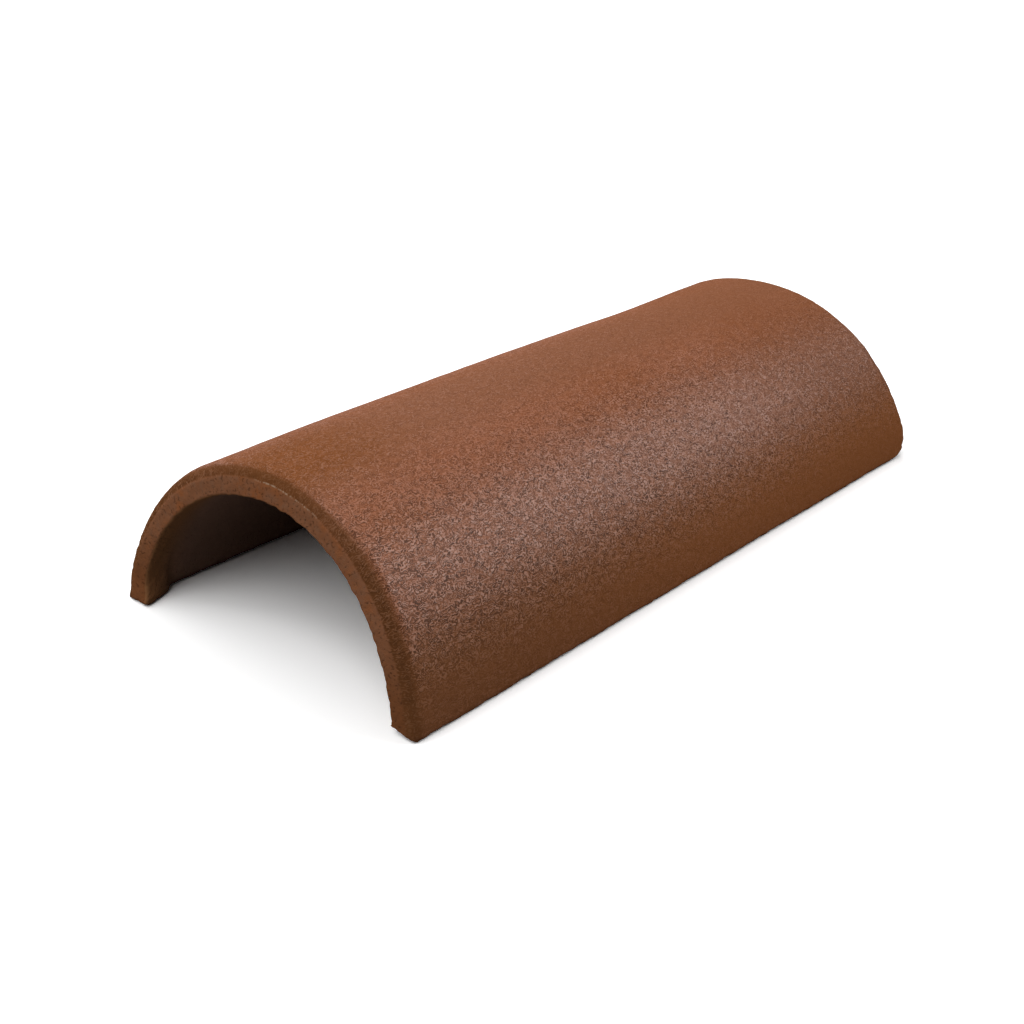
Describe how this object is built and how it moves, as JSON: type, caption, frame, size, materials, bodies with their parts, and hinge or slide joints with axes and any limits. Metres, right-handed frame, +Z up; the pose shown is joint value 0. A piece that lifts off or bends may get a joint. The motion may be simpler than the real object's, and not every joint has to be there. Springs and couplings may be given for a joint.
{
  "type": "ridge tile",
  "caption": "Half-round clay ridge tile: a long arched shell with an even wall, open underneath, that stands on its two straight feet.",
  "frame": {"origin": "on the floor, under the middle of the tile", "axes": "+X along the tile, towards the end whose crown is raised a little; +Y across it; +Z up, from the feet to the crown"},
  "size_m": [0.45, 0.2206, 0.098],
  "materials": {
    "fired_clay": "matte"
  },
  "bodies": {
    "root": {"ridge_tile": "fired_clay"}
  },
  "joints": []
}
